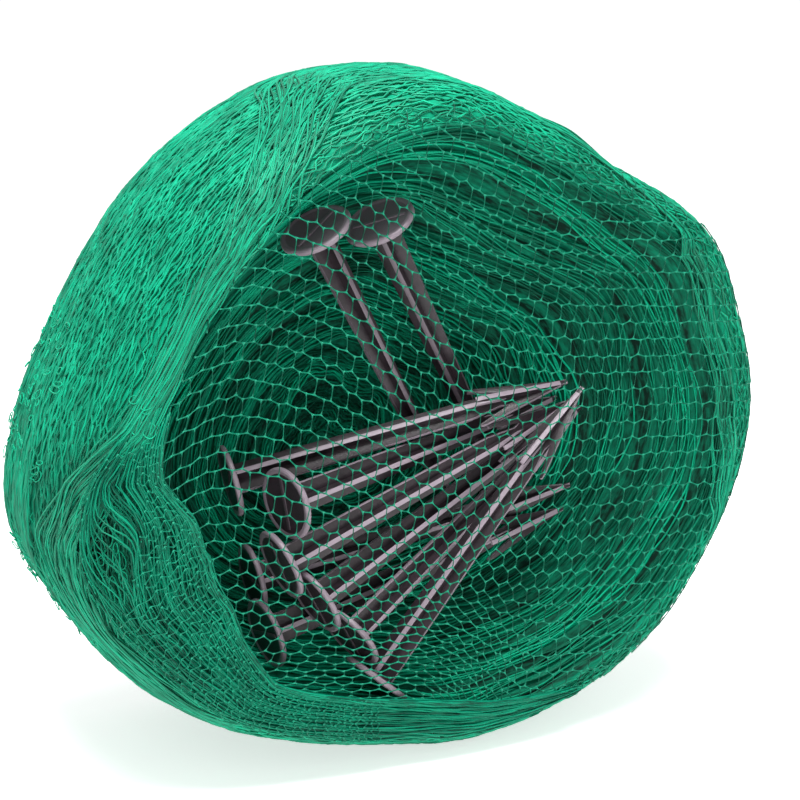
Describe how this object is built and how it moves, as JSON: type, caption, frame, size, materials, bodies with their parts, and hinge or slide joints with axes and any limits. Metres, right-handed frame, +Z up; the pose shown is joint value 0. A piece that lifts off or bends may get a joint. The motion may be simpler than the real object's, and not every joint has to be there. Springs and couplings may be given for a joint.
{
  "type": "roll of pond netting with ground pegs",
  "caption": "Roll of green pond netting standing on its wound side, with ground pegs in the hollow of one end under a single drawn layer of the net.",
  "frame": {"origin": "on the floor, under the middle of the roll", "axes": "+Z up, Y along the axis of the wound turns, and the end that holds the pegs faces -Y"},
  "size_m": [0.3186, 0.1352, 0.2837],
  "materials": {
    "net": "thin twisted plastic threads, slightly glossy",
    "peg_plastic": "moulded, satin"
  },
  "bodies": {
    "root": {"wound_roll": "net", "cover_net": "net", "turned_fold": "net", "peg_01": "peg_plastic", "peg_02": "peg_plastic", "peg_03": "peg_plastic", "peg_04": "peg_plastic", "peg_05": "peg_plastic", "peg_06": "peg_plastic", "peg_07": "peg_plastic", "peg_08": "peg_plastic", "peg_09": "peg_plastic", "peg_10": "peg_plastic"}
  },
  "joints": []
}
